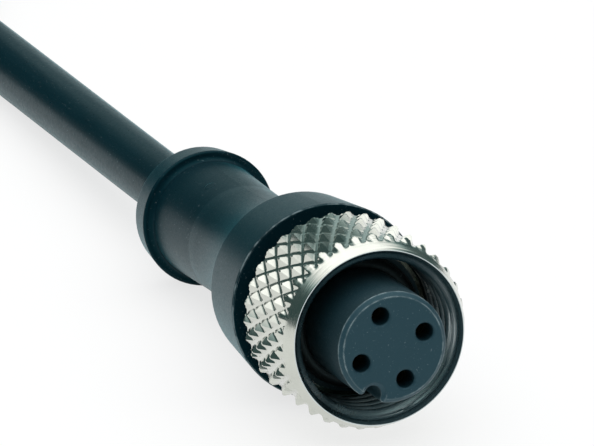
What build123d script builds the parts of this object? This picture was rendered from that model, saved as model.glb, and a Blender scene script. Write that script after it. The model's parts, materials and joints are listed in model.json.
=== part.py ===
from build123d import *
from math import atan2, cos, pi, radians, sin, sqrt, tan
import os

# A straight female M12 cordset with four contacts, in millimetres, +Z up.
# It lies as it comes to rest, on the collar of the grip and on the flange at the cable end,
# so its axis is pitched up towards the mating face. Stations along the axis are measured from
# the rim of the coupling nut, positive towards the mating side.

# Coupling nut
thread_minor_d = 10.9  # M12 x 1 internal thread, plain bore at its crests
thread_major_d = 12.0
rim_d = 12.6
rim_land = 0.06
entry_land = 0.17  # plain step between the entry chamfer and the thread
thread_lead = 0.3  # turned start of the thread
nose_len = 2.1
knurl_d = 14.25
knurl_len = 6.4
knurl_depth = 0.42
knurl_teeth = 33
knurl_row_pitch = 1.36
knurl_fill = 0.88  # share of the pitch that a tooth's foot takes
knurl_tip = 0.14  # share of the foot that is left as a flat on the tip
tooth_sink = 0.06
knurl_edge_chamfer = 0.3
relief_depth = 0.5
relief_len = 1.1
lip_len = 2.0
nut_lip_chamfer = 0.25
running_clearance = 0.05
nut_end_play = 0.1

# Contact carrier
carrier_d = 7.95
face_proud = 2.8  # the mating face stands in front of the nut's rim
face_chamfer = 0.3
contact_pcd = 5.0
contact_entry_d = 1.3
entry_chamfer = 0.12
keyway_w = 1.25
keyway_depth = 1.05
keyway_lip = 0.3
keyway_roll = 25.2  # degrees from straight down, seen from the mating side
shaft_depth = 0.4  # the carrier is thinner behind its barrel, for the seal and the retainer

# Retainer: sleeve on the carrier's shaft, whose shoulder holds the nut
shoulder_clearance = 0.3  # shoulder to thread crests
shoulder_len = 1.1
shoulder_ledge = 0.45
hub_embed = 4.0

# Socket contacts and cores
contact_d = 1.6
pin_bore_d = 0.96
pin_bore_depth = 6.0
contact_recess = 2.6
contact_float = 0.6  # room between a contact and the ledge behind its entry hole
tine_slot_w = 0.2
tine_slot_len = 4.0
contact_collar_d = 1.84
contact_collar_len = 0.8
crimp_d = 1.4
crimp_len = 4.5
crimp_bore_depth = 3.5
conductor_d = 0.8
core_d = 1.25
bare_len = 0.5
core_gather_len = 8.6
core_bend_r = 2.0
fit_gap = 0.03

# Seal ring
seal_section_d = 1.15

# Grip
collar_gap = 1.94  # open groove between the knurl and the collar
collar_front_d = 14.16
collar_rear_d = 12.92
collar_len = 6.11
collar_edge_r = 0.15
neck_front_d = 11.5
waist_d = 8.3
neck_front_len = 11.1
neck_rear_d = 8.6
neck_rear_len = 7.15
neck_root_r = 0.42
flange_front_d = 10.0
flange_rear_d = 9.38
flange_len = 2.65
flange_front_r = 0.2
flange_edge_r = 0.3

# Cable
cable_d = 4.4
axial_run = 8.0  # how far the cable keeps the axis of the grip past the flange

# Hank and stripped end
hank_front_x = -87.0
hank_side_y = 4.9
hank_run = 70.0
hank_layers = 4
layer_pitch = 4.4
turns_abreast = 2
fold_diameters = 3.0
hank_edge_r = 1.8
tie_t = 0.6
tie_w = 3.0
tie_gap = 0.05
tie_from_fold = 7.0
tail_jacket_len = 28.0
tail_core_len = 24.0
tail_core_spread = 2.8
tail_core_fan = 0.7
tail_lead = 1.5
tail_drop_len = 9.0
tip_len = 6.0

# Derived radii
carrier_r = carrier_d / 2
thread_r = thread_minor_d / 2
knurl_r = knurl_d / 2
knurl_root_r = knurl_r - knurl_depth
rim_r = rim_d / 2
shoulder_r = thread_r - shoulder_clearance
hub_r = shoulder_r - shoulder_ledge
lip_r = hub_r + running_clearance
shaft_r = carrier_r - shaft_depth
cable_r = cable_d / 2
contact_ring_r = contact_pcd / 2
core_ring_r = (core_d + fit_gap) / sqrt(2)

# Derived stations along the axis
nut_rear = -(nose_len + knurl_len)
lip_front = nut_rear + lip_len
shoulder_rear = lip_front + nut_end_play
shoulder_front = shoulder_rear + shoulder_len
collar_front = nut_rear - collar_gap
collar_rear = collar_front - collar_len
waist = collar_rear - neck_front_len
flange_front = waist - neck_rear_len
flange_rear = flange_front - flange_len
carrier_rear = collar_front - hub_embed
seal_front = shoulder_front + seal_section_d + 2 * fit_gap
contact_front = face_proud - contact_recess
contact_ledge = contact_front + contact_float
crimp_rear = carrier_rear - crimp_len
core_front = crimp_rear - bare_len
jacket_front = core_front - core_gather_len

# The rest on collar and flange sets the pitch of the axis
pitch = atan2(collar_front_d / 2 - flange_front_d / 2, collar_front - flange_front)
axis_dir = Vector(cos(pitch), 0, sin(pitch))
up_dir = Vector(-sin(pitch), 0, cos(pitch))
front_x = face_proud * cos(pitch) + (carrier_r - face_chamfer) * sin(pitch)
rear_x = flange_rear * cos(pitch) - (flange_rear_d / 2 - flange_edge_r) * sin(pitch)
rim_centre = Vector(
    -(front_x + rear_x) / 2,
    0,
    collar_front_d / 2 * cos(pitch) - collar_front * sin(pitch),
)
mouth = Plane(origin=rim_centre, x_dir=(0, 1, 0), z_dir=axis_dir)
section = Plane(origin=rim_centre, x_dir=axis_dir, z_dir=(0, -1, 0))
spin_axis = Axis(rim_centre, axis_dir)

keyway_angle = -90 - keyway_roll
contact_angles = [keyway_angle + 45 + 90 * step for step in range(4)]
core_names = ("brown", "white", "blue", "black")


def radial_plane(angle):
    """The half-plane through the axis at an angle about it: x along the axis, y outwards."""
    outwards = Vector(0, 1, 0) * cos(radians(angle)) + up_dir * sin(radians(angle))
    return Plane(origin=rim_centre, x_dir=axis_dir, z_dir=axis_dir.cross(outwards))


def save(part, name):
    """Label a finished piece and write it."""
    part.label = name
    export_step(part, f"parts/{name}.step")


os.makedirs("parts", exist_ok=True)

# One knurl tooth: a diamond pyramid on the root cylinder, about the Z axis
foot_y = pi * knurl_root_r / knurl_teeth * knurl_fill
foot_z = knurl_row_pitch * knurl_fill
sunk = 1 + tooth_sink / knurl_depth
with BuildPart() as knurl_tooth:
    with BuildSketch(Plane.YZ.offset(knurl_root_r - tooth_sink)):
        Polygon(
            (foot_y * sunk, 0),
            (0, foot_z * sunk),
            (-foot_y * sunk, 0),
            (0, -foot_z * sunk),
        )
    with BuildSketch(Plane.YZ.offset(knurl_r)):
        Polygon(
            (foot_y * knurl_tip, 0),
            (0, foot_z * knurl_tip),
            (-foot_y * knurl_tip, 0),
            (0, -foot_z * knurl_tip),
        )
    loft()

# Coupling nut: turned blank, knurl teeth, then the nose cone and the rear edge turned over them
nose_slope = (knurl_r - rim_r) / nose_len
root_meets_nose = -(knurl_root_r - rim_r) / nose_slope
entry_depth = rim_r - rim_land - thread_major_d / 2
beyond = knurl_r + 1
with BuildPart() as coupling_nut:
    with BuildSketch(section):
        Polygon(
            (0, rim_r - rim_land),
            (0, rim_r),
            (root_meets_nose, knurl_root_r),
            (nut_rear, knurl_root_r),
            (nut_rear, lip_r + nut_lip_chamfer),
            (nut_rear + nut_lip_chamfer, lip_r),
            (lip_front, lip_r),
            (lip_front, thread_r + relief_depth),
            (lip_front + relief_len, thread_r + relief_depth),
            (lip_front + relief_len + relief_depth, thread_r),
            (-entry_depth - entry_land - thread_lead, thread_r),
            (-entry_depth - entry_land, thread_major_d / 2),
            (-entry_depth, thread_major_d / 2),
            align=None,
        )
    revolve(axis=spin_axis)
    rows = int((knurl_len + nose_len) / knurl_row_pitch)
    for row in range(rows):
        with Locations(mouth.offset(nut_rear + knurl_edge_chamfer + row * knurl_row_pitch)):
            with PolarLocations(0, knurl_teeth, start_angle=180 / knurl_teeth * (row % 2)):
                add(knurl_tooth.part)
    with BuildSketch(section):
        Polygon(
            (-nose_len, knurl_r),
            (nose_len, rim_r - nose_slope * nose_len),
            (nose_len, beyond),
            (-nose_len, beyond),
            align=None,
        )
        Polygon(
            (nut_rear, knurl_r - knurl_edge_chamfer),
            (nut_rear + knurl_edge_chamfer * 2, knurl_r + knurl_edge_chamfer),
            (nut_rear + knurl_edge_chamfer * 2, beyond),
            (nut_rear - knurl_row_pitch * 2, beyond),
            (nut_rear - knurl_row_pitch * 2, lip_r),
            (nut_rear, lip_r),
            align=None,
        )
    revolve(axis=spin_axis, mode=Mode.SUBTRACT)
save(coupling_nut.part, "coupling_nut")

# Retainer: shoulder that the nut pulls on, and hub that the nut turns on and the grip holds
with BuildPart() as nut_retainer:
    with BuildSketch(section):
        Polygon(
            (shoulder_front, shaft_r + fit_gap),
            (shoulder_front, shoulder_r),
            (shoulder_rear, shoulder_r),
            (shoulder_rear, hub_r),
            (carrier_rear, hub_r),
            (carrier_rear, shaft_r + fit_gap),
            align=None,
        )
    revolve(axis=spin_axis)
save(nut_retainer.part, "nut_retainer")

# Contact carrier: keyed barrel with the mating face, and the shaft behind it
with BuildPart() as contact_carrier:
    with BuildSketch(mouth.offset(carrier_rear)):
        Circle(shaft_r)
    extrude(amount=seal_front - carrier_rear)
    keyway_dir = Vector(cos(radians(keyway_angle)), sin(radians(keyway_angle)), 0)
    with BuildSketch(mouth.offset(seal_front)) as barrel:
        Circle(carrier_r)
        with Locations(Location((0, 0, 0), (0, 0, keyway_angle))):
            with Locations((carrier_r - keyway_depth + keyway_w / 2, 0)):
                Circle(keyway_w / 2, mode=Mode.SUBTRACT)
            with Locations((carrier_r, 0)):
                Rectangle(2 * keyway_depth - keyway_w, keyway_w, mode=Mode.SUBTRACT)
        fillet(barrel.vertices().sort_by_distance(keyway_dir * carrier_r)[:2], keyway_lip)
    extrude(amount=face_proud - seal_front)
    face = contact_carrier.faces().sort_by(spin_axis)[-1]
    chamfer(face.outer_wire().edges(), face_chamfer)
    for angle in contact_angles:
        place = mouth.from_local_coords(
            (contact_ring_r * cos(radians(angle)), contact_ring_r * sin(radians(angle)), 0)
        )
        with BuildSketch(Plane(origin=place, x_dir=axis_dir, z_dir=(0, -1, 0))):
            Polygon(
                (face_proud + entry_chamfer, 0),
                (face_proud + entry_chamfer, contact_entry_d / 2 + 2 * entry_chamfer),
                (face_proud - entry_chamfer, contact_entry_d / 2),
                (contact_ledge, contact_entry_d / 2),
                (contact_ledge, contact_d / 2 + fit_gap),
                (carrier_rear + contact_collar_len, contact_d / 2 + fit_gap),
                (carrier_rear + contact_collar_len, contact_collar_d / 2 + fit_gap),
                (carrier_rear - fit_gap, contact_collar_d / 2 + fit_gap),
                (carrier_rear - fit_gap, 0),
                align=None,
            )
        revolve(axis=Axis(place, axis_dir), mode=Mode.SUBTRACT)
save(contact_carrier.part, "contact_carrier")

# Seal ring at the root of the barrel
with BuildPart() as seal_ring:
    with BuildSketch(section):
        with Locations(
            (
                shoulder_front + seal_section_d / 2 + fit_gap,
                shaft_r + seal_section_d / 2 + fit_gap,
            )
        ):
            Circle(seal_section_d / 2)
    revolve(axis=spin_axis)
save(seal_ring.part, "seal_ring")

# Socket contacts, the stripped conductors crimped in them, and their cores
buried = []
for number, (angle, name) in enumerate(zip(contact_angles, core_names), start=1):
    place = mouth.from_local_coords(
        (contact_ring_r * cos(radians(angle)), contact_ring_r * sin(radians(angle)), 0)
    )
    contact_section = Plane(origin=place, x_dir=axis_dir, z_dir=(0, -1, 0))
    contact_axis = Axis(place, axis_dir)
    outwards = Vector(0, 1, 0) * cos(radians(angle)) + up_dir * sin(radians(angle))
    contact_end = Plane(origin=place, x_dir=outwards, z_dir=axis_dir)

    with BuildPart() as contact:
        with BuildSketch(contact_section):
            Polygon(
                (contact_front, pin_bore_d / 2),
                (contact_front, contact_d / 2),
                (carrier_rear + contact_collar_len, contact_d / 2),
                (carrier_rear + contact_collar_len, contact_collar_d / 2),
                (carrier_rear, contact_collar_d / 2),
                (carrier_rear, crimp_d / 2),
                (crimp_rear, crimp_d / 2),
                (crimp_rear, conductor_d / 2 + fit_gap),
                (crimp_rear + crimp_bore_depth, conductor_d / 2 + fit_gap),
                (crimp_rear + crimp_bore_depth, 0),
                (contact_front - pin_bore_depth, 0),
                (contact_front - pin_bore_depth, pin_bore_d / 2),
                align=None,
            )
        revolve(axis=contact_axis)
        with BuildSketch(contact_end.offset(contact_front)):
            Rectangle(2 * contact_d, tine_slot_w)
        extrude(amount=-tine_slot_len, mode=Mode.SUBTRACT)
    save(contact.part, f"contact_{number}")

    with BuildPart() as conductor:
        with BuildSketch(contact_end.offset(core_front)):
            Circle(conductor_d / 2)
        extrude(amount=crimp_bore_depth + bare_len)
    save(conductor.part, f"conductor_{name}")

    lead = core_gather_len / 5
    with BuildPart() as core:
        with BuildLine(radial_plane(angle)) as core_route:
            FilletPolyline(
                (core_front, contact_ring_r),
                (core_front - lead, contact_ring_r),
                (jacket_front + lead, core_ring_r),
                (jacket_front, core_ring_r),
                radius=core_bend_r,
            )
        with BuildSketch(Plane(origin=core_route.line @ 0, z_dir=core_route.line % 0)):
            Circle(core_d / 2)
        sweep()
    save(core.part, f"core_{name}")
    buried += [contact.part, conductor.part, core.part]

# Grip: soft body moulded over the carrier's hub, the crimps, the cores and the end of the cable
with BuildPart() as grip:
    with BuildSketch(section):
        with BuildLine():
            Polyline(
                (flange_rear, 0),
                (flange_rear, flange_rear_d / 2),
                (flange_front, flange_front_d / 2),
                (flange_front, neck_rear_d / 2),
                (waist, waist_d / 2),
            )
            neck_arc = TangentArc(
                (waist, waist_d / 2),
                (collar_rear, neck_front_d / 2),
                tangent=(1, 0),
            )
            Polyline(
                neck_arc @ 1,
                (collar_rear, collar_rear_d / 2),
                (collar_front, collar_front_d / 2),
                (collar_front, 0),
                (flange_rear, 0),
            )
        make_face()
    revolve(axis=spin_axis)
    rings = grip.edges().filter_by(GeomType.CIRCLE).sort_by(spin_axis)
    rear_edges = rings.filter_by(lambda edge: abs(edge.radius - flange_rear_d / 2) < 1e-6)
    fillet(rear_edges, flange_edge_r)
    rings = grip.edges().filter_by(GeomType.CIRCLE)
    fillet(
        rings.filter_by(
            lambda edge: min(
                abs(edge.radius - collar_front_d / 2), abs(edge.radius - collar_rear_d / 2)
            )
            < 1e-6
        ),
        collar_edge_r,
    )
    rings = grip.edges().filter_by(GeomType.CIRCLE)
    fillet(
        rings.filter_by(lambda edge: abs(edge.radius - flange_front_d / 2) < 1e-6),
        flange_front_r,
    )
    rings = grip.edges().filter_by(GeomType.CIRCLE)
    fillet(
        rings.filter_by(lambda edge: abs(edge.radius - neck_rear_d / 2) < 1e-6),
        neck_root_r,
    )
    with BuildSketch(mouth.offset(carrier_rear)):
        Circle(hub_r)
    extrude(amount=hub_embed, mode=Mode.SUBTRACT)
    with BuildSketch(mouth.offset(flange_rear)):
        Circle(cable_r)
    extrude(amount=jacket_front - flange_rear, mode=Mode.SUBTRACT)
    for piece in buried:
        add(piece, mode=Mode.SUBTRACT)
save(grip.part, "grip")

# Cable: along the grip's axis, down to the floor, and on to the hank
exit_point = rim_centre + axis_dir * flange_rear
hank_base = tie_t
fold_r = fold_diameters * cable_d
outer_r = fold_r + (turns_abreast - 1) * cable_d
fold_centre_x = hank_front_x - outer_r - cable_r
hank_centre_y = hank_side_y - outer_r
lead_z = hank_base + cable_r
cable_points = [
    rim_centre + axis_dir * jacket_front,
    exit_point - axis_dir * axial_run,
    Vector(-62.5, 0.0, cable_r),
    Vector(-71.5, 0.05, cable_r),
    Vector(hank_front_x + 4.5, hank_side_y, lead_z),
    Vector(hank_front_x - 6.5, hank_side_y, lead_z),
]


def bend_radii(points):
    """The largest arc that the two runs at each inner point allow."""
    radii = []
    for before, corner, after in zip(points, points[1:], points[2:]):
        into, out = corner - before, after - corner
        turn = radians(into.get_angle(out))
        radii.append(0.45 * min(into.length, out.length) / tan(turn / 2))
    return radii


cable_radii = bend_radii(cable_points)
print("cable bend radii", [round(radius, 1) for radius in cable_radii])
with BuildPart() as cable_run:
    with BuildLine() as cable_route:
        FilletPolyline(*cable_points, radius=cable_radii)
    with BuildSketch(Plane(origin=cable_route.line @ 0, z_dir=cable_route.line % 0)):
        Circle(cable_r)
    sweep()
save(cable_run.part, "cable_run")

# Hank: the outer shape of the folded turns, with the lead that joins it
hank_height = (hank_layers - 1) * layer_pitch + cable_d
hank_centre_x = fold_centre_x - hank_run / 2
hank_top = hank_base + hank_height
with BuildPart() as cable_hank:
    with BuildSketch(Plane.XY.offset(hank_base)):
        with Locations((hank_centre_x, hank_centre_y)):
            SlotCenterToCenter(hank_run, 2 * (outer_r + cable_r))
            SlotCenterToCenter(hank_run, 2 * (fold_r - cable_r), mode=Mode.SUBTRACT)
    extrude(amount=hank_height)
    fillet(cable_hank.faces().sort_by(Axis.Z)[-1].edges(), hank_edge_r)
    fillet(cable_hank.faces().sort_by(Axis.Z)[0].edges(), hank_edge_r)
    with BuildSketch(Plane(origin=cable_points[-1], z_dir=(-1, 0, 0))):
        Circle(cable_r)
    extrude(amount=cable_points[-1].X - fold_centre_x)
save(cable_hank.part, "cable_hank")

# Two ties, one round each side of the hank
bundle_w = turns_abreast * cable_d
bundle_offset = outer_r + cable_r - bundle_w / 2
tie_places = (
    (fold_centre_x - tie_from_fold, hank_centre_y + bundle_offset),
    (hank_centre_x, hank_centre_y - bundle_offset),
)
for number, (tie_x, tie_y) in enumerate(tie_places, start=1):
    tie_plane = Plane(
        origin=(tie_x + tie_w / 2, tie_y, hank_base + hank_height / 2),
        x_dir=(0, 1, 0),
        z_dir=(1, 0, 0),
    )
    inner_w = bundle_w + 2 * tie_gap
    inner_h = hank_height + 2 * tie_gap
    with BuildPart() as tie:
        with BuildSketch(tie_plane):
            RectangleRounded(inner_w + 2 * tie_t, inner_h + 2 * tie_t, hank_edge_r + tie_t)
            RectangleRounded(inner_w, inner_h, hank_edge_r, mode=Mode.SUBTRACT)
        extrude(amount=-tie_w)
    save(tie.part, f"hank_tie_{number}")

# Stripped end, lying on the hank
tail_z = hank_top + tie_gap + tie_t + cable_r + tie_gap
tail_start = Vector(fold_centre_x, hank_side_y - cable_r, tail_z)
tail_end = tail_start - Vector(tail_jacket_len, 0, 0)
with BuildPart() as cable_tail:
    with BuildSketch(Plane(origin=tail_start, z_dir=(-1, 0, 0))):
        Circle(cable_r)
    extrude(amount=tail_jacket_len)
save(cable_tail.part, "cable_tail")

core_rest_z = hank_top + core_d / 2 + tie_gap
tail_sides = ((-0.5, -1), (-1.5, 1), (0.5, -1), (1.5, 1))
for name, (side, level) in zip(core_names, tail_sides):
    root = tail_end + Vector(0, core_ring_r if side > 0 else -core_ring_r, core_ring_r * level)
    lay_y = tail_end.Y + tail_core_spread * side
    core_points = [
        root,
        root - Vector(tail_lead, 0, 0),
        Vector(tail_end.X - tail_drop_len, lay_y - tail_core_fan * side, core_rest_z),
        Vector(tail_end.X - tail_core_len, lay_y, core_rest_z),
    ]
    with BuildPart() as tail_core:
        with BuildLine() as tail_route:
            FilletPolyline(*core_points, radius=bend_radii(core_points))
        with BuildSketch(Plane(origin=tail_route.line @ 0, z_dir=tail_route.line % 0)):
            Circle(core_d / 2)
        sweep()
    save(tail_core.part, f"tail_core_{name}")
    with BuildPart() as tail_tip:
        with BuildSketch(Plane(origin=tail_route.line @ 1, z_dir=tail_route.line % 1)):
            Circle(conductor_d / 2)
        extrude(amount=tip_len)
    save(tail_tip.part, f"tail_tip_{name}")
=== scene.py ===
"""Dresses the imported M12 cordset: nut, carrier, grip, cable, hank and stripped end."""

import json
from math import cos, hypot, pi, radians, sin

import bpy
from mathutils import Matrix, Vector


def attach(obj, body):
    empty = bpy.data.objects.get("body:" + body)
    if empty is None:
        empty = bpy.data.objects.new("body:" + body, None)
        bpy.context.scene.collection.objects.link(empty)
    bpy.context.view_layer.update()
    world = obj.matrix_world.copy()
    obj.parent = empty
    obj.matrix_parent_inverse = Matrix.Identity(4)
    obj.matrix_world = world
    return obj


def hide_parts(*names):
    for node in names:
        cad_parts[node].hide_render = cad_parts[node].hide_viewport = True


bl_info = {
    "name": "M12 Cordset",
    "version": (1, 0, 0),
    "blender": (4, 5, 0),
    "location": "View3D > Sidebar > M12 Cordset",
    "description": "Dresses an M12 cordset with its nut, carrier, grip and cable",
    "category": "Object",
}

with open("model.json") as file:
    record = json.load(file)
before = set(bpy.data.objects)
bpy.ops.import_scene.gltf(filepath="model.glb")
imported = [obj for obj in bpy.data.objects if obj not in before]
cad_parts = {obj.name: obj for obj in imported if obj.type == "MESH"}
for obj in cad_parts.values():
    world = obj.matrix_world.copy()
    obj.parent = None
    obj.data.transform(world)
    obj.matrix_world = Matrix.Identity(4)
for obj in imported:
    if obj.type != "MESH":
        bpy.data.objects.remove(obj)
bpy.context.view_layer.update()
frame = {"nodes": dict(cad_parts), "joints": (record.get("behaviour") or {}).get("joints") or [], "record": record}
NODES = frame["nodes"]
MM = 0.001

# The connector's axis, from the nut's joint and the mating face's mount
MOUNTS = {mount["name"]: mount for mount in frame["record"]["mounts"]}
AXIS = Vector(frame["joints"][0]["axis"]).normalized()
FACE_CENTRE = Vector(MOUNTS["contact_sockets"]["pos_m"])
SIDE = Vector((0, 1, 0))
UP = AXIS.cross(SIDE)
FIXED_BODY = "cordset"
NUT_BODY = "coupling_nut"
CORE_NAMES = ("brown", "white", "blue", "black")

# Cold bloom of the soft black plastics, and a pale tone of the same plastic for dust, flash and worn edges, which
# also serves as painted highlight along edges
BLOOM = "#78EEFF"
PALE_MARK_AND_HIGHLIGHT = "#9DAEB2"

# Cool walls of the dim room
ROOM = "#C2FFFF"
# Middle of the overhead scrim, seen from the object, and the cosines from there at which the
# scrim ends and at which it is full
SCRIM_TOWARD = (0.0, 0.05, 1.0)
SCRIM_END, SCRIM_FULL = 0.45, 0.85
# The same for the pale backdrop behind the object
BACKDROP_TOWARD = (-0.95, 0.28, 0.02)
BACKDROP_END, BACKDROP_FULL = 0.86, 0.97
# Light of the room, the scrim and the backdrop
ROOM_LIGHT, SCRIM_LIGHT, BACKDROP_LIGHT = 0.09, 1.75, 0.4

# Sizes of the surface patterns, in mm: cloudy patches in the plate and in the plastics, specks of
# lint, broken strokes of worn edges and painted edge highlight, tears in the moulding's flash,
# and the depth of the mould's marks
STAIN_MM = 2.5
CLOUD_MM = 6
LINT_MM = 0.16
STROKE_MM = 0.7
TEAR_MM = 0.8
MARK_DEPTH_MM = 0.05


def linear(hex_colour):
    """An sRGB hex colour as linear RGBA."""
    channels = [int(hex_colour[place : place + 2], 16) / 255 for place in (1, 3, 5)]
    return [
        value / 12.92 if value <= 0.04045 else ((value + 0.055) / 1.055) ** 2.4
        for value in channels
    ] + [1.0]


# Soft plastic scatters a cold bloom at its rims and mirrors little; hard plastic has a plain gloss
SOFT_SKIN = {
    "specular_ior_level": 0.14,
    "specular_tint": linear(BLOOM),
    "sheen_weight": 0.34,
    "sheen_roughness": 0.25,
    "sheen_tint": linear(BLOOM),
}
HARD_SKIN = {"specular_ior_level": 0.5, "specular_tint": linear("#CFF9FF")}


def shaded(tone, share):
    """A colour with its light scaled to a share."""
    return [value * share for value in tone[:3]] + [1.0]


def length_mm(name, description, default):
    """A length that a user may change, in millimetres."""
    return bpy.props.FloatProperty(
        name=name, description=f"{description}, in mm", default=default, min=0.0
    )


def fraction(name, description, default):
    """A part of a whole that a user may change."""
    return bpy.props.FloatProperty(
        name=name, description=description, default=default, min=0.0, max=1.0, subtype="FACTOR"
    )


def colour(name, description, default):
    """A colour that a user may change, written as sRGB hex."""
    return bpy.props.FloatVectorProperty(
        name=name,
        description=description,
        default=linear(default),
        subtype="COLOR",
        size=4,
        min=0,
        max=1,
    )


class M12NutSizes(bpy.types.PropertyGroup):
    """Sizes of the coupling nut, in millimetres."""

    face_proud: length_mm("Face proud", "Mating face in front of the nut's rim", 2.8)
    rim_d: length_mm("Rim diameter", "Outside of the nut at its rim", 12.6)
    rim_land: length_mm("Rim land", "Flat between the nose cone and the entry chamfer", 0.06)
    entry_land: length_mm("Entry land", "Plain step between the entry chamfer and the thread", 0.17)
    thread_lead: length_mm("Thread lead", "Turned start of the thread", 0.3)
    thread_major_d: length_mm("Thread major diameter", "Floor of the inside thread", 12.0)
    crease_len: length_mm("Crease", "Steeper edge band in front of the nose cone", 0.65)
    crease_slope: fraction("Crease slope", "Rise of the edge band for its length", 0.41)
    nose_len: length_mm("Nose length", "Turned cone in front of the knurl", 2.1)
    knurl_d: length_mm("Knurl diameter", "Over the tips of the teeth", 14.25)
    knurl_len: length_mm("Knurl length", "Knurled band behind the nose cone", 6.4)
    knurl_depth: length_mm("Knurl depth", "From tooth tip to groove floor", 0.42)
    knurl_row_pitch: length_mm("Row pitch", "Along the axis, from row to row of teeth", 1.36)
    knurl_teeth: bpy.props.IntProperty(
        name="Teeth", description="Teeth round the nut", default=33, min=8
    )
    knurl_fill: fraction("Tooth foot", "Share of the pitch that a tooth's foot takes", 0.8)
    knurl_tip: fraction("Tooth tip", "Share of the foot that is left flat on the tip", 0.14)
    edge_chamfer: length_mm("Edge chamfer", "Turned edge behind the knurl", 0.3)
    thread_minor_d: length_mm("Thread minor diameter", "Crests of the inside thread", 10.9)
    thread_pitch: length_mm("Thread pitch", "M12 x 1", 1.0)
    lip_d: length_mm("Lip bore", "Bore that runs on the carrier's hub", 9.5)
    lip_len: length_mm("Lip length", "Inward lip at the rear of the nut", 2.0)
    lip_chamfer: length_mm("Lip chamfer", "Edge of the lip's bore", 0.25)
    relief_depth: length_mm("Relief depth", "Runout groove behind the thread", 0.5)
    relief_len: length_mm("Relief length", "Runout groove behind the thread", 1.1)


class M12GripSizes(bpy.types.PropertyGroup):
    """Where the grip's marks lie, in millimetres."""

    collar_gap: length_mm("Collar gap", "Open groove between the nut and the collar", 1.94)
    collar_front_d: length_mm("Collar diameter", "Front edge of the collar", 14.16)
    waist_behind: length_mm("Waist", "Mould line behind the nut's rim", 27.2)
    gate_behind: length_mm("Gate", "Round gate mark behind the nut's rim", 29.8)
    gate_out: length_mm("Gate radius", "Gate mark from the axis", 4.2)
    gate_turn: bpy.props.FloatProperty(
        name="Gate angle",
        description="Gate mark round the axis",
        default=radians(113),
        subtype="ANGLE",
    )
    gate_d: length_mm("Gate diameter", "Across the gate mark", 0.9)


class M12CableSizes(bpy.types.PropertyGroup):
    """Sizes of the cable and its hank."""

    length: bpy.props.FloatProperty(
        name="Length",
        description="Cable from the grip to its stripped end",
        default=2.0,
        unit="LENGTH",
    )
    diameter: length_mm("Diameter", "Outside of the jacket", 4.4)
    hank_front_x: bpy.props.FloatProperty(
        name="Hank front", description="Front of the hank, in mm", default=-87.0
    )
    hank_side_y: length_mm("Hank side", "Run of the hank that the cable joins", 4.9)
    hank_run: length_mm("Hank run", "Straight runs of the hank", 70.0)
    hank_layers: bpy.props.IntProperty(
        name="Layers", description="Layers of the hank", default=4, min=1
    )
    layer_pitch: length_mm("Layer pitch", "Height from one layer to the next", 4.4)
    fold_r: length_mm("Fold radius", "Inner fold at the ends of the hank", 13.2)
    tie_thickness: length_mm("Tie thickness", "Strap under the hank", 0.6)
    tail_len: length_mm("Tail", "Jacket that lies on the hank", 28.0)


class M12Colours(bpy.types.PropertyGroup):
    """Colours of the cordset and its stage."""

    nickel: colour("Nickel", "Bright nickel plate", "#D2D5CC")
    tapped: colour("Tapped nickel", "Nickel plate on the thread", "#D0DBDC")
    carrier: colour("Carrier", "Moulded contact carrier", "#0A2730")
    # Painted light: a paler tone put on the carrier's forward-facing surfaces for the light on its mating face
    face: colour("Mating face", "Dusty film on the carrier's face", "#1D3B47")
    grip: colour("Grip", "Overmoulded grip", "#072129")
    jacket: colour("Jacket", "Cable jacket", "#062028")
    seal: colour("Seal", "Seal ring", "#141414")
    tie: colour("Tie", "Ties of the hank", "#18191A")
    gold: colour("Gold", "Flash gold plate of the contacts", "#E0B75A")
    tin: colour("Tin", "Tinned copper strands", "#C9C6BE")
    brown: colour("Brown core", "Insulation of the brown core", "#5A3420")
    white: colour("White core", "Insulation of the white core", "#E8E6DF")
    blue: colour("Blue core", "Insulation of the blue core", "#1F4C9A")
    black: colour("Black core", "Insulation of the black core", "#161617")
    floor: colour("Floor", "Floor of the studio", "#FFFFFF")


class M12View(bpy.types.PropertyGroup):
    """The camera, fitted to the connector's circles, and the glow of the light table."""

    azimuth: bpy.props.FloatProperty(
        name="Azimuth", description="Round the object", default=radians(69.8), subtype="ANGLE"
    )
    elevation: bpy.props.FloatProperty(
        name="Elevation", description="Above the floor", default=radians(19.9), subtype="ANGLE"
    )
    focal: bpy.props.FloatProperty(
        name="Lens", description="Focal length", default=909.1, unit="CAMERA"
    )
    distance: length_mm("Distance", "Camera to the nut's rim", 1040.6)
    rim_right: length_mm("Rim right", "Nut's rim right of the picture's middle", 5.71)
    rim_below: length_mm("Rim below", "Nut's rim below the picture's middle", 7.98)
    light_table: fraction("Light table", "Share of the floor's white that shadows leave", 0.75)


def settings(kind):
    """The scene's settings of one kind."""
    return getattr(bpy.context.scene, "m12_" + kind)


def on_axis(station, radius=0.0, angle=0.0):
    """The point at a station from the rim and a radius, in mm, and an angle about the axis."""
    rim = FACE_CENTRE - AXIS * settings("nut").face_proud * MM
    return rim + (AXIS * station + (SIDE * cos(angle) + UP * sin(angle)) * radius) * MM


def add_node(material, kind, values=None, links=None, **options):
    """Adds a shader node with its settings, its input values and the outputs that feed it."""
    node = material.node_tree.nodes.new(kind)
    for name, value in options.items():
        setattr(node, name, value)
    for socket, value in (values or {}).items():
        node.inputs[socket].default_value = value
    for socket, source in (links or {}).items():
        material.node_tree.links.new(source, node.inputs[socket])
    return node


def start_material(name, **values):
    """A new material and its surface shader, with the values that are the same all over."""
    material = bpy.data.materials.new(name)
    material.use_nodes = True
    shader = material.node_tree.nodes["Principled BSDF"]
    for socket, value in values.items():
        shader.inputs[socket.replace("_", " ").title().replace("Ior", "IOR")].default_value = value
    return material, shader


def link(material, source, node, socket):
    """Feeds one input of a node."""
    material.node_tree.links.new(source, node.inputs[socket])


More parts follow.
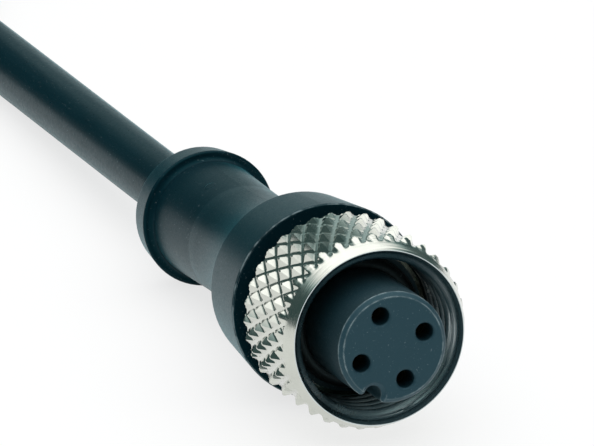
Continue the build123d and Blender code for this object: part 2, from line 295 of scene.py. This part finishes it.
def nickel_plate(name, tone, clear, dull, ring_mm, streak_mm, ring_depth_mm, ring_fade):
    """Bright nickel on cut brass: a mirror with cloudy patches and tool rings.

    The rings fade behind the nose. The real ones lie closer than a pixel, so they are drawn as
    coarse as they need to show.
    """
    material, shader = start_material(name, metallic=1.0)
    place = add_node(material, "ShaderNodeTexCoord")
    along = add_node(
        material,
        "ShaderNodeMapping",
        {"Rotation": (0, AXIS.to_track_quat("X", "Z").to_euler().y, 0)},
        {"Vector": place.outputs["Object"]},
        vector_type="TEXTURE",
    )
    cloud = add_node(
        material,
        "ShaderNodeTexNoise",
        {"Scale": 1 / (STAIN_MM * MM), "Detail": 4.0, "Roughness": 0.6},
        {"Vector": along.outputs["Vector"]},
    )
    patches = add_node(
        material,
        "ShaderNodeMapRange",
        {"From Min": 0.35, "From Max": 0.7, "To Min": clear, "To Max": dull},
        {"Value": cloud.outputs["Fac"]},
    )
    link(material, patches.outputs["Result"], shader, "Roughness")
    stain = add_node(
        material,
        "ShaderNodeMix",
        {"A": tone, "B": shaded(tone, 0.86)},
        {"Factor": cloud.outputs["Fac"]},
        data_type="RGBA",
    )
    link(material, stain.outputs["Result"], shader, "Base Color")
    drawn_out = add_node(
        material,
        "ShaderNodeMapping",
        {"Scale": (1 / (ring_mm * MM), 1 / (streak_mm * MM), 1 / (streak_mm * MM))},
        {"Vector": along.outputs["Vector"]},
    )
    rings = add_node(
        material,
        "ShaderNodeTexNoise",
        {"Scale": 1.0, "Detail": 3.0, "Roughness": 0.6},
        {"Vector": drawn_out.outputs["Vector"]},
    )
    station = add_node(
        material,
        "ShaderNodeVectorMath",
        {1: AXIS},
        {0: place.outputs["Object"]},
        operation="DOT_PRODUCT",
    )
    knurl_front = on_axis(-settings("nut").nose_len).dot(AXIS)
    fade_mm = 0.9
    fade = add_node(
        material,
        "ShaderNodeMapRange",
        {
            "From Min": knurl_front,
            "From Max": knurl_front + fade_mm * MM,
            "To Min": ring_fade,
            "To Max": 0.8,
        },
        {"Value": station.outputs["Value"]},
    )
    relief = add_node(
        material,
        "ShaderNodeBump",
        {"Distance": ring_depth_mm * MM},
        {"Height": rings.outputs["Fac"], "Strength": fade.outputs["Result"]},
    )
    link(material, relief.outputs["Normal"], shader, "Normal")
    return material


def moulded_plastic(
    name, tone, roughness, grain_mm, depth_mm, skin=HARD_SKIN, wear_and_painted_light=None, marks=None, edge_mm=0.0
):
    """Moulded plastic: an even matt skin with fine grain and cloudy gloss.

    The grain is drawn coarser than a mould's own, so that it shows. The plastic can have worn edges
    and painted light, mould marks, and edges as softly rounded as a mould leaves them.
    """
    material, shader = start_material(name, roughness=roughness, **skin)
    place = add_node(material, "ShaderNodeTexCoord")
    grain = add_node(
        material,
        "ShaderNodeTexNoise",
        {"Scale": 1 / (grain_mm * MM), "Detail": 3.0, "Roughness": 0.65},
        {"Vector": place.outputs["Object"]},
    )
    cloud = add_node(
        material,
        "ShaderNodeTexNoise",
        {"Scale": 1 / (CLOUD_MM * MM), "Detail": 3.0},
        {"Vector": place.outputs["Object"]},
    )
    shade = add_node(
        material,
        "ShaderNodeMix",
        {"A": shaded(tone, 0.8), "B": shaded(tone, 1.2)},
        {"Factor": cloud.outputs["Fac"]},
        data_type="RGBA",
    )
    # Painted light for the parts that have it: a paler forward face, and highlights along edges, with worn plastic
    if wear_and_painted_light:
        shade = wear_and_painted_light(material, place, shade)
    shade = dust(material, place, shade)
    link(material, shade.outputs["Result"], shader, "Base Color")
    spread = 0.07
    gloss = add_node(
        material,
        "ShaderNodeMapRange",
        {
            "From Min": 0.3,
            "From Max": 0.7,
            "To Min": roughness - spread,
            "To Max": roughness + spread,
        },
        {"Value": grain.outputs["Fac"]},
    )
    link(material, gloss.outputs["Result"], shader, "Roughness")
    relief = add_node(
        material,
        "ShaderNodeBump",
        {"Strength": 0.5, "Distance": depth_mm * MM},
        {"Height": grain.outputs["Fac"]},
    )
    if edge_mm:
        rounded = add_node(material, "ShaderNodeBevel", {"Radius": edge_mm * MM}, samples=8)
        link(material, rounded.outputs["Normal"], relief, "Normal")
    if marks:
        relief = add_node(
            material,
            "ShaderNodeBump",
            {"Strength": 0.6, "Distance": MARK_DEPTH_MM * MM},
            {"Height": marks(material, place), "Normal": relief.outputs["Normal"]},
        )
    link(material, relief.outputs["Normal"], shader, "Normal")
    return material


def dust(material, place, shade):
    """Scatters pale specks over a colour, drawn coarse enough to show."""
    lint = add_node(
        material,
        "ShaderNodeTexNoise",
        {"Scale": 1 / (LINT_MM * MM), "Detail": 1.0},
        {"Vector": place.outputs["Object"]},
    )
    specks = add_node(
        material,
        "ShaderNodeMapRange",
        {"From Min": 0.68, "From Max": 0.8, "To Max": 0.22},
        {"Value": lint.outputs["Fac"]},
    )
    return add_node(
        material,
        "ShaderNodeMix",
        {"B": linear(PALE_MARK_AND_HIGHLIGHT)},
        {"Factor": specks.outputs["Result"], "A": shade.outputs["Result"]},
        data_type="RGBA",
    )


def edge_wear_and_painted_highlight(material, place, shade, edge_mm, mask=None):
    """Lightens a colour in broken strokes along the edges, inside the mask if there is one: partly worn plastic,
    partly painted highlight where a rounded edge would catch the light.
    """
    rounded = add_node(material, "ShaderNodeBevel", {"Radius": edge_mm * MM}, samples=8)
    flat = add_node(material, "ShaderNodeNewGeometry")
    turn = add_node(
        material,
        "ShaderNodeVectorMath",
        links={0: rounded.outputs["Normal"], 1: flat.outputs["Normal"]},
        operation="DOT_PRODUCT",
    )
    stroke = add_node(
        material,
        "ShaderNodeMapRange",
        {"From Min": 0.995, "From Max": 0.945, "To Min": 0.0, "To Max": 0.9},
        {"Value": turn.outputs["Value"]},
    )
    patches = add_node(
        material,
        "ShaderNodeTexNoise",
        {"Scale": 1 / (STROKE_MM * MM), "Detail": 4.0},
        {"Vector": place.outputs["Object"]},
    )
    broken = add_node(
        material,
        "ShaderNodeMapRange",
        {"From Min": 0.42, "From Max": 0.6, "To Min": 0.25, "To Max": 1.0},
        {"Value": patches.outputs["Fac"]},
    )
    share = add_node(
        material,
        "ShaderNodeMath",
        links={0: stroke.outputs["Result"], 1: broken.outputs["Result"]},
        operation="MULTIPLY",
    )
    if mask:
        share = add_node(
            material,
            "ShaderNodeMath",
            links={0: share.outputs["Value"], 1: mask},
            operation="MULTIPLY",
        )
    # The pale tone mixed in here is painted highlight on the edges, and worn plastic
    return add_node(
        material,
        "ShaderNodeMix",
        {"B": linear(PALE_MARK_AND_HIGHLIGHT)},
        {"Factor": share.outputs["Value"], "A": shade.outputs["Result"]},
        data_type="RGBA",
    )


def plated_metal(name, tone, roughness, grain_mm):
    """Thin plate on small metal pieces: bright, with the grain of the metal under it.

    The grain is drawn coarse enough to show.
    """
    material, shader = start_material(name, metallic=1.0)
    place = add_node(material, "ShaderNodeTexCoord")
    grain = add_node(
        material,
        "ShaderNodeTexNoise",
        {"Scale": 1 / (grain_mm * MM), "Detail": 3.0},
        {"Vector": place.outputs["Object"]},
    )
    gloss = add_node(
        material,
        "ShaderNodeMapRange",
        {"To Min": roughness - 0.08, "To Max": roughness + 0.1},
        {"Value": grain.outputs["Fac"]},
    )
    link(material, gloss.outputs["Result"], shader, "Roughness")
    shade = add_node(
        material,
        "ShaderNodeMix",
        {"A": tone, "B": shaded(tone, 0.8)},
        {"Factor": grain.outputs["Fac"]},
        data_type="RGBA",
    )
    link(material, shade.outputs["Result"], shader, "Base Color")
    return material


def dress(thing, material):
    """Puts one material on a piece or a node."""
    thing.data.materials.clear()
    thing.data.materials.append(material)


def new_piece(name, points, faces, material, sharp_deg=30):
    """A mesh piece in the row frame, smooth but for its sharp edges."""
    mesh = bpy.data.meshes.new(name)
    mesh.from_pydata([tuple(point) for point in points], [], faces)
    mesh.validate()
    mesh.polygons.foreach_set("use_smooth", [True] * len(mesh.polygons))
    mesh.set_sharp_from_angle(angle=radians(sharp_deg))
    piece = bpy.data.objects.new(name, mesh)
    bpy.context.scene.collection.objects.link(piece)
    dress(piece, material)
    return piece


def ring_faces(rings, steps, closed, split=None):
    """Faces between rings of points; split names, for a quad, the diagonal that it is cut along."""
    faces = []
    for ring in range(rings if closed else rings - 1):
        after = (ring + 1) % rings
        for step in range(steps):
            turn = (step + 1) % steps
            a, b = ring * steps + step, ring * steps + turn
            c, d = after * steps + turn, after * steps + step
            way = split(ring, step) if split else 0
            if way == 0:
                faces.append((a, b, c, d))
            elif way > 0:
                faces.extend(((a, b, c), (a, c, d)))
            else:
                faces.extend(((a, b, d), (b, c, d)))
    return faces


class M12_OT_stage(bpy.types.Operator):
    """Make the camera, the floor and the studio light"""

    bl_idname = "m12.stage"
    bl_label = "Stage"

    def execute(self, context):
        self.make_camera(context)
        self.make_floor(context)
        self.make_lights(context)
        context.scene.view_settings.view_transform = "Standard"
        return {"FINISHED"}

    def make_camera(self, context):
        """The camera that took the photograph, with the nut's rim at its place in the picture."""
        look = settings("view")
        turn, rise = look.azimuth, look.elevation
        back = Vector((sin(turn) * cos(rise), -cos(turn) * cos(rise), sin(rise)))
        right = Vector((cos(turn), sin(turn), 0))
        up = back.cross(right)
        camera = bpy.data.objects.new("Camera", bpy.data.cameras.new("Camera"))
        camera.data.sensor_width = 36.0
        camera.data.lens = look.focal
        camera.data.clip_start = 0.05
        camera.data.clip_end = 50.0
        offset = back * look.distance - right * look.rim_right + up * look.rim_below
        facing = Matrix((right, up, back)).transposed().to_4x4()
        camera.matrix_world = Matrix.Translation(on_axis(0) + offset * MM) @ facing
        context.scene.collection.objects.link(camera)
        context.scene.camera = camera

    def make_floor(self, context):
        """A painted board, white and too matt to show grain, lit from below as a light table."""
        half = 3.0
        corners = [(-half, -half, 0), (half, -half, 0), (half, half, 0), (-half, half, 0)]
        material, shader = start_material(
            "painted_board_matt", roughness=0.9, specular_ior_level=0.0
        )
        shader.inputs["Base Color"].default_value = settings("colours").floor
        ray = add_node(material, "ShaderNodeLightPath")
        seen = add_node(
            material,
            "ShaderNodeMath",
            links={0: ray.outputs["Is Camera Ray"], 1: ray.outputs["Is Glossy Ray"]},
            operation="MAXIMUM",
        )
        seen = add_node(
            material,
            "ShaderNodeMath",
            links={0: seen.outputs["Value"], 1: ray.outputs["Is Transmission Ray"]},
            operation="MAXIMUM",
        )
        share = add_node(
            material,
            "ShaderNodeMath",
            {1: settings("view").light_table},
            {0: seen.outputs["Value"]},
            operation="MULTIPLY",
        )
        glow = add_node(material, "ShaderNodeEmission", {"Color": settings("colours").floor})
        board = add_node(
            material,
            "ShaderNodeMixShader",
            links={
                0: share.outputs["Value"],
                1: shader.outputs["BSDF"],
                2: glow.outputs["Emission"],
            },
        )
        surface = material.node_tree.nodes["Material Output"]
        link(material, board.outputs["Shader"], surface, "Surface")
        floor = new_piece("studio_floor", corners, [(0, 1, 2, 3)], material)
        # Just under the part, so that no two faces lie in one plane
        floor.location.z = -0.02 * MM

    def make_lights(self, context):
        """A white scrim overhead, a pale backdrop behind, and a dim room low round the table."""
        world = bpy.data.worlds.new("studio")
        world.use_nodes = True
        toward = add_node(world, "ShaderNodeTexCoord")
        lean = add_node(
            world,
            "ShaderNodeVectorMath",
            {1: Vector(SCRIM_TOWARD).normalized()},
            {0: toward.outputs["Generated"]},
            operation="DOT_PRODUCT",
        )
        scrim = add_node(
            world,
            "ShaderNodeMapRange",
            {
                "From Min": SCRIM_END,
                "From Max": SCRIM_FULL,
                "To Min": ROOM_LIGHT,
                "To Max": SCRIM_LIGHT,
            },
            {"Value": lean.outputs["Value"]},
            interpolation_type="SMOOTHSTEP",
        )
        behind = add_node(
            world,
            "ShaderNodeVectorMath",
            {1: Vector(BACKDROP_TOWARD).normalized()},
            {0: toward.outputs["Generated"]},
            operation="DOT_PRODUCT",
        )
        backdrop = add_node(
            world,
            "ShaderNodeMapRange",
            {"From Min": BACKDROP_END, "From Max": BACKDROP_FULL, "To Max": BACKDROP_LIGHT},
            {"Value": behind.outputs["Value"]},
            interpolation_type="SMOOTHSTEP",
        )
        light = add_node(
            world,
            "ShaderNodeMath",
            links={0: scrim.outputs["Result"], 1: backdrop.outputs["Result"]},
            operation="ADD",
        )
        # Only the dim parts are cool, and show so in the nickel's dark reflections
        hue = add_node(
            world,
            "ShaderNodeMix",
            {"A": linear(ROOM), "B": (1, 1, 1, 1)},
            {"Factor": light.outputs["Value"]},
            data_type="RGBA",
        )
        background = world.node_tree.nodes["Background"]
        link(world, hue.outputs["Result"], background, "Color")
        link(world, light.outputs["Value"], background, "Strength")
        context.scene.world = world


def tube_curve(name, points, diameter_mm, material):
    """A round tube on one NURBS spline with these control points, in mm."""
    curve = bpy.data.curves.new(name, "CURVE")
    curve.dimensions = "3D"
    curve.bevel_depth = diameter_mm / 2 * MM
    curve.bevel_resolution = 6
    curve.resolution_u = 6
    curve.use_fill_caps = True
    spline = curve.splines.new("NURBS")
    spline.points.add(len(points) - 1)
    for control, point in zip(spline.points, points):
        control.co = (*(Vector(point) * MM), 1)
    spline.order_u = 3
    spline.use_endpoint_u = True
    piece = bpy.data.objects.new(name, curve)
    bpy.context.scene.collection.objects.link(piece)
    dress(piece, material)
    return piece


def fold_points(end_x, way, start, end, reach, climb_late):
    """Control points round a half turn at the hank's end, from one run to the next, in mm."""
    middle_y, half_y = (start[1] + end[1]) / 2, (start[1] - end[1]) / 2
    count = 6
    half_step = 90 // count
    # Control points lie outside the round that they draw
    swell = 1 / cos(radians(half_step))
    points = []
    for step in range(count):
        angle = radians(half_step + 2 * half_step * step)
        share = (step + 0.5) / count
        climb = max(0.0, share * 2 - 1) if climb_late else share
        points.append(
            (
                end_x + way * reach * swell * sin(angle),
                middle_y + half_y * swell * cos(angle),
                start[2] + (end[2] - start[2]) * climb,
            )
        )
    return points


class M12_OT_cable(bpy.types.Operator):
    """Make the cable from the grip to its stripped end, with the hank's turns"""

    bl_idname = "m12.cable"
    bl_label = "Cable"

    def execute(self, context):
        size = settings("cable")
        points = self.lead_points() + self.hank_points()
        # Extruded soft plastic: satin blue-black with a cold bloom along both sides
        jacket = moulded_plastic(
            "polyurethane_jacket_extruded",
            settings("colours").jacket,
            roughness=0.34,
            grain_mm=0.25,
            depth_mm=0.01,
            skin=SOFT_SKIN,
        )
        cable = tube_curve("cable", points, size.diameter, jacket)
        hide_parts("cable_run", "cable_hank", "cable_tail")
        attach(cable, FIXED_BODY)
        on_cable = [NODES["hank_tie_1"], NODES["hank_tie_2"]]
        on_cable += [NODES["tail_core_" + name] for name in CORE_NAMES]
        on_cable += [NODES["tail_tip_" + name] for name in CORE_NAMES]
        on_axis(-37.45)
        return {"FINISHED"}

    def lead_points(self):
        """The cable inside the grip, down to the floor and along to the hank."""
        size = settings("cable")
        floor_z = size.diameter / 2
        lead_z = size.tie_thickness + floor_z
        # From inside the grip, by its rear, to places along the floor in the row frame
        return [
            on_axis(-28.04) / MM,
            on_axis(-37.45) / MM,
            (-50.0, 0.0, floor_z + 0.756),
            (-62.6, 0.0, floor_z),
            (-74.0, -0.79, floor_z),
            (size.hank_front_x + 1.0, size.hank_side_y, lead_z),
            (size.hank_front_x - 10.0, size.hank_side_y, lead_z),
        ]

    def hank_points(self):
        """The folded turns, two abreast and in layers, and the tail on top of them."""
        size = settings("cable")
        d = size.diameter
        outer = size.fold_r + d
        front_x = size.hank_front_x - outer - d / 2
        rear_x = front_x - size.hank_run
        middle_y = size.hank_side_y - outer
        # Straight start and end of a fold, and room between a tie and the tail
        easing = 5.0
        clear = 0.1
        tracks = []
        for layer in range(size.hank_layers):
            z = size.tie_thickness + d / 2 + layer * size.layer_pitch
            order = (outer, size.fold_r) if layer % 2 == 0 else (size.fold_r, outer)
            tracks += [(radius, z) for radius in order]
        top = tracks[-1][1] + d / 2
        tail_y = size.hank_side_y - d / 2
        tail_z = top + size.tie_thickness + d / 2 + clear
        points = []
        for place, (radius, z) in enumerate(tracks):
            right = (0, middle_y + radius, z)
            left = (0, middle_y - radius, z)
            points.append((front_x - easing, right[1], z))
            points.append((rear_x + easing, right[1], z))
            points += fold_points(rear_x, -1, right, left, radius, False)
            points.append((rear_x + easing, left[1], z))
            points.append((front_x - easing, left[1], z))
            if place + 1 < len(tracks):
                next_radius, next_z = tracks[place + 1]
                onward = (0, middle_y + next_radius, next_z)
            else:
                onward = (0, tail_y, tail_z)
            points += fold_points(front_x, 1, left, onward, radius, True)
        points.append((front_x - easing, tail_y, tail_z))
        points.append((front_x - size.tail_len, tail_y, tail_z))
        return points


class M12_OT_stripped_end(bpy.types.Operator):
    """Dress the stripped cores, their bare tips and the ties"""

    bl_idname = "m12.stripped_end"
    bl_label = "Stripped end and ties"

    def execute(self, context):
        colours = settings("colours")
        # Drawn copper dipped in tin: silvery and a little dull
        tin = plated_metal("tinned_copper_drawn", colours.tin, roughness=0.3, grain_mm=0.15)
        for name in CORE_NAMES:
            # Extruded insulation: a plain colour with a waxy gloss
            skin = moulded_plastic(
                f"pvc_core_{name}_extruded",
                getattr(colours, name),
                roughness=0.42,
                grain_mm=0.15,
                depth_mm=0.006,
            )
            for node in ("core_", "tail_core_"):
                dress(NODES[node + name], skin)
            for node in ("conductor_", "tail_tip_"):
                dress(NODES[node + name], tin)
        # Moulded nylon: black, with a dry and even gloss
        nylon = moulded_plastic(
            "nylon_tie_moulded", colours.tie, roughness=0.45, grain_mm=0.3, depth_mm=0.01
        )
        for node in ("hank_tie_1", "hank_tie_2"):
            dress(NODES[node], nylon)
        return {"FINISHED"}


class M12_OT_coupling_nut(bpy.types.Operator):
    """Make the coupling nut with its diamond knurl and inside thread"""

    bl_idname = "m12.coupling_nut"
    bl_label = "Coupling nut"

    steps_per_tooth = 16
    rows_per_pitch = 8
    rows_per_turn = 16

    def execute(self, context):
        size = settings("nut")
        steps = size.knurl_teeth * self.steps_per_tooth
        outside = self.outside()
        profile = outside + self.inside()
        points = []
        for station, radius_at in profile:
            for step in range(steps):
                points.append(on_axis(station, radius_at(station, step), 2 * pi * step / steps))
        faces = ring_faces(len(profile), steps, True, self.split)
        colours = settings("colours")
        # Turned and plated: a bright, faintly warm mirror, with tool rings on the nose
        turned = nickel_plate(
            "nickel_plated_brass_turned",
            colours.nickel,
            clear=0.10,
            dull=0.26,
            ring_mm=0.5,
            streak_mm=7,
            ring_depth_mm=0.06,
            ring_fade=0.04,
        )
        # Tapped and plated: cooler and duller, with fine lines along the thread
        tapped = nickel_plate(
            "nickel_plated_brass_tapped",
            colours.tapped,
            clear=0.18,
            dull=0.3,
            ring_mm=0.3,
            streak_mm=60,
            ring_depth_mm=0.05,
            ring_fade=0.8,
        )
        nut = new_piece("knurled_nut", points, faces, turned, sharp_deg=24)
        nut.data.materials.append(tapped)
        # The thread begins behind the four rings of the rear face and the lip's bore
        first_tapped = steps * (len(outside) + 4)
        for face in nut.data.polygons:
            face.material_index = 1 if face.vertices[0] >= first_tapped else 0
        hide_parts("coupling_nut")
        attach(nut, NUT_BODY)
        return {"FINISHED"}

    def split(self, ring, step):
        """Cuts a knurl quad along the nearer groove, so that a tooth's flanks stay flat."""
        row = self.rows + 1 - ring
        if row < 1:
            return 0
        span = self.steps_per_tooth
        distances = [min(place % span, -place % span) for place in (step + row, step - row + 1)]
        return 1 if distances[0] <= distances[1] else -1

    def knurl(self, row, step):
        """Radius over the knurl: blunt teeth between two sets of flat-floored helical grooves."""
        size = settings("nut")
        span = self.steps_per_tooth
        lowest = 1.0
        for way in (1, -1):
            phase = ((step + way * row) % span) / span
            from_groove = min(phase, 1 - phase) * 2
            lowest = min(lowest, from_groove)
        rise = max(0.0, lowest - 1 + size.knurl_fill) / size.knurl_fill
        flat = 1 - size.knurl_tip
        return size.knurl_d / 2 - size.knurl_depth * (1 - min(rise, flat) / flat)

    def outside(self):
        """Stations of the outside, from the rim to the rear face."""
        size = settings("nut")
        rear = -(size.nose_len + size.knurl_len)
        spacing = size.knurl_row_pitch / self.rows_per_pitch
        self.rows = int(-rear / spacing)
        rim_r, knurl_r = size.rim_d / 2, size.knurl_d / 2
        crease_r = rim_r + size.crease_len * size.crease_slope
        slope = (knurl_r - crease_r) / (size.nose_len - size.crease_len)

        def skin(station, step):
            row = round((station - rear) / spacing)
            cone = crease_r - slope * (station + size.crease_len)
            brow = rim_r - size.crease_slope * station
            edge = knurl_r - size.edge_chamfer + (station - rear)
            return min(self.knurl(row, step), cone, brow, edge)

        stations = [rear + row * spacing for row in range(self.rows, -1, -1)]
        return [(0.0, lambda station, step: rim_r)] + [(station, skin) for station in stations]

    def inside(self):
        """Stations of the rear face, the lip's bore, the runout groove and the thread."""
        size = settings("nut")
        rear = -(size.nose_len + size.knurl_len)
        lip_r = size.lip_d / 2
        lip_front = rear + size.lip_len
        minor_r = size.thread_minor_d / 2
        major_r = size.thread_major_d / 2
        entry_r = size.rim_d / 2 - size.rim_land
        lead_slope = (major_r - minor_r) / size.thread_lead
        thread_rear = lip_front + size.relief_len
        steps = size.knurl_teeth * self.steps_per_tooth
        # Shares of the half pitch that the thread's flat crest and its flank take
        crest, flank_len = 0.1, 0.75
        # Length over which the thread runs out, and the wall between its end and the groove, in mm
        runout, groove_wall = 0.5, 0.05

        def round_at(radius):
            return lambda station, step: radius

        def thread(station, step):
            turn = (station / size.thread_pitch + step / steps) % 1.0
            flank = min(1.0, max(0.0, (abs(turn - 0.5) * 2 - crest) / flank_len))
            groove = flank * flank * (3 - 2 * flank)
            fade = min(1.0, max(0.0, (station - thread_rear) / runout))
            chamfer = entry_r + station
            start = major_r + lead_slope * (station + entry_r - major_r + size.entry_land)
            return max(minor_r + (major_r - minor_r) * groove * fade, chamfer, min(major_r, start))

        plain = [
            (rear, lip_r + size.lip_chamfer),
            (rear + size.lip_chamfer, lip_r),
            (lip_front, lip_r),
            (lip_front, minor_r + size.relief_depth),
            (thread_rear - groove_wall, minor_r + size.relief_depth),
        ]
        stations = [(station, round_at(radius)) for station, radius in plain]
        count = int(-thread_rear / (size.thread_pitch / self.rows_per_turn))
        for row in range(count + 1):
            stations.append((thread_rear * (1 - row / count), thread))
        return stations


class M12_OT_contact_carrier(bpy.types.Operator):
    """Dress the carrier, its contacts and the seal ring"""

    bl_idname = "m12.contact_carrier"
    bl_label = "Contact carrier"

    def execute(self, context):
        colours = settings("colours")
        # Moulded sleeve behind the nut: matt blue-black, hardly seen
        sleeve = moulded_plastic(
            "polyurethane_sleeve_moulded",
            colours.carrier,
            roughness=0.55,
            grain_mm=0.12,
            depth_mm=0.008,
        )
        dress(NODES["nut_retainer"], sleeve)
        # Moulded carrier: matt blue-black, with painted light as a paler tone on its face, pale strokes on its
        # outer edge as worn edge and painted highlight, and soft edges
        barrel = moulded_plastic(
            "polyurethane_carrier_moulded",
            colours.carrier,
            roughness=0.55,
            grain_mm=0.12,
            depth_mm=0.008,
            wear_and_painted_light=self.painted_face_light_and_edges,
            edge_mm=0.2,
        )
        dress(NODES["contact_carrier"], barrel)
        # Moulded rubber: plain dull black
        rubber = moulded_plastic(
            "fluororubber_seal_moulded", colours.seal, roughness=0.55, grain_mm=0.1, depth_mm=0.005
        )
        dress(NODES["seal_ring"], rubber)
        # Turned brass with flash gold: warm and bright, deep in the holes
        gold = plated_metal("gold_plated_brass_turned", colours.gold, roughness=0.22, grain_mm=0.2)
        for number in range(1, 5):
            dress(NODES[f"contact_{number}"], gold)
        return {"FINISHED"}

    def painted_face_light_and_edges(self, material, place, shade):
        """Painted light: a paler tone where the carrier faces forward, and pale strokes on its outer edge, as worn
        edge and painted highlight.
        """
        # Painted light: the face's paler colour, mixed in where the normal points along the axis
        facing = add_node(
            material,
            "ShaderNodeVectorMath",
            {1: AXIS},
            {0: place.outputs["Normal"]},
            operation="DOT_PRODUCT",
        )
        painted_face_light = add_node(
            material,
            "ShaderNodeMapRange",
            {"From Min": 0.45, "From Max": 0.7},
            {"Value": facing.outputs["Value"]},
        )
        shade = add_node(
            material,
            "ShaderNodeMix",
            {"B": settings("colours").face},
            {"Factor": painted_face_light.outputs["Result"], "A": shade.outputs["Result"]},
            data_type="RGBA",
        )
        away = add_node(
            material,
            "ShaderNodeVectorMath",
            {1: FACE_CENTRE},
            {0: place.outputs["Object"]},
            operation="DISTANCE",
        )
        # Inside this circle on the face no edge gets pale strokes
        inner_mm, outer_mm = 3.3, 3.5
        outer = add_node(
            material,
            "ShaderNodeMapRange",
            {"From Min": inner_mm * MM, "From Max": outer_mm * MM},
            {"Value": away.outputs["Value"]},
        )
        # Pale strokes on the face's outer edge: worn edge and painted highlight
        return edge_wear_and_painted_highlight(material, place, shade, edge_mm=0.2, mask=outer.outputs["Result"])


class M12_OT_grip(bpy.types.Operator):
    """Dress the overmoulded grip"""

    bl_idname = "m12.grip"
    bl_label = "Grip"

    def execute(self, context):
        # Moulded soft plastic: satin blue-black with a cold bloom and faint mould marks
        skin = moulded_plastic(
            "polyurethane_grip_moulded",
            settings("colours").grip,
            roughness=0.34,
            grain_mm=0.15,
            depth_mm=0.012,
            skin=SOFT_SKIN,
            wear_and_painted_light=self.flash,
            marks=self.marks,
        )
        dress(NODES["grip"], skin)
        return {"FINISHED"}

    def flash(self, material, place, shade):
        """Pale broken strokes along the edges, as worn edges and painted highlight, and a broken line of pale
        flash on the collar's front edge.
        """
        # Pale strokes along all edges: worn edges and painted highlight
        shade = edge_wear_and_painted_highlight(material, place, shade, edge_mm=0.06)
        nut, grip = settings("nut"), settings("grip")
        edge_behind = nut.nose_len + nut.knurl_len + grip.collar_gap
        # A point on the axis in front of the collar, from which the edge alone lies just so far
        ahead_mm, half_width_mm = 7.0, 0.06
        ahead = on_axis(ahead_mm - edge_behind)
        away = add_node(
            material,
            "ShaderNodeVectorMath",
            {1: ahead},
            {0: place.outputs["Object"]},
            operation="DISTANCE",
        )
        line = add_node(
            material,
            "ShaderNodeMath",
            {1: hypot(ahead_mm, grip.collar_front_d / 2) * MM, 2: half_width_mm * MM},
            {0: away.outputs["Value"]},
            operation="COMPARE",
        )
        torn = add_node(
            material,
            "ShaderNodeTexNoise",
            {"Scale": 1 / (TEAR_MM * MM), "Detail": 4.0},
            {"Vector": place.outputs["Object"]},
        )
        broken = add_node(
            material,
            "ShaderNodeMapRange",
            {"From Min": 0.42, "From Max": 0.58, "To Min": 0.08, "To Max": 0.5},
            {"Value": torn.outputs["Fac"]},
        )
        share = add_node(
            material,
            "ShaderNodeMath",
            links={0: line.outputs["Value"], 1: broken.outputs["Result"]},
            operation="MULTIPLY",
        )
        return add_node(
            material,
            "ShaderNodeMix",
            {"B": linear(PALE_MARK_AND_HIGHLIGHT)},
            {"Factor": share.outputs["Value"], "A": shade.outputs["Result"]},
            data_type="RGBA",
        )

    def marks(self, material, place):
        """Height of the round gate mark on the neck and of the soft mould line round its waist."""
        size = settings("grip")
        gate_r = size.gate_d / 2 * MM
        away = add_node(
            material,
            "ShaderNodeVectorMath",
            {1: on_axis(-size.gate_behind, size.gate_out, size.gate_turn)},
            {0: place.outputs["Object"]},
            operation="DISTANCE",
        )
        gate = add_node(
            material,
            "ShaderNodeMapRange",
            {"From Min": gate_r, "From Max": gate_r * 0.8},
            {"Value": away.outputs["Value"]},
            interpolation_type="SMOOTHSTEP",
        )
        station = add_node(
            material,
            "ShaderNodeVectorMath",
            {1: AXIS},
            {0: place.outputs["Object"]},
            operation="DOT_PRODUCT",
        )
        seam = on_axis(-size.waist_behind).dot(AXIS)
        soft = 1.0 * MM
        step = add_node(
            material,
            "ShaderNodeMapRange",
            {"From Min": seam - soft, "From Max": seam + soft},
            {"Value": station.outputs["Value"]},
            interpolation_type="SMOOTHSTEP",
        )
        both = add_node(
            material,
            "ShaderNodeMath",
            links={0: gate.outputs["Result"], 1: step.outputs["Result"]},
            operation="ADD",
        )
        return both.outputs["Value"]


class M12_PT_cordset(bpy.types.Panel):
    """Lists the steps that dress the cordset"""

    bl_label = "M12 Cordset"
    bl_idname = "M12_PT_cordset"
    bl_space_type = "VIEW_3D"
    bl_region_type = "UI"
    bl_category = "M12 Cordset"

    def draw(self, context):
        for step in STEPS:
            self.layout.operator(step.bl_idname)


STEPS = (
    M12_OT_stage,
    M12_OT_cable,
    M12_OT_stripped_end,
    M12_OT_coupling_nut,
    M12_OT_contact_carrier,
    M12_OT_grip,
)
GROUPS = {
    "nut": M12NutSizes,
    "grip": M12GripSizes,
    "cable": M12CableSizes,
    "colours": M12Colours,
    "view": M12View,
}


def register():
    for group in GROUPS.values():
        bpy.utils.register_class(group)
    for kind, group in GROUPS.items():
        setattr(bpy.types.Scene, "m12_" + kind, bpy.props.PointerProperty(type=group))
    for step in STEPS:
        bpy.utils.register_class(step)
    bpy.utils.register_class(M12_PT_cordset)


def unregister():
    bpy.utils.unregister_class(M12_PT_cordset)
    for step in reversed(STEPS):
        bpy.utils.unregister_class(step)
    for kind in GROUPS:
        delattr(bpy.types.Scene, "m12_" + kind)
    for group in reversed(list(GROUPS.values())):
        bpy.utils.unregister_class(group)


def main():
    """Registers the add-on and dresses the cordset."""
    register()
    for step in STEPS:
        group, name = step.bl_idname.split(".")
        getattr(getattr(bpy.ops, group), name)()


if __name__ == "__main__":
    main()
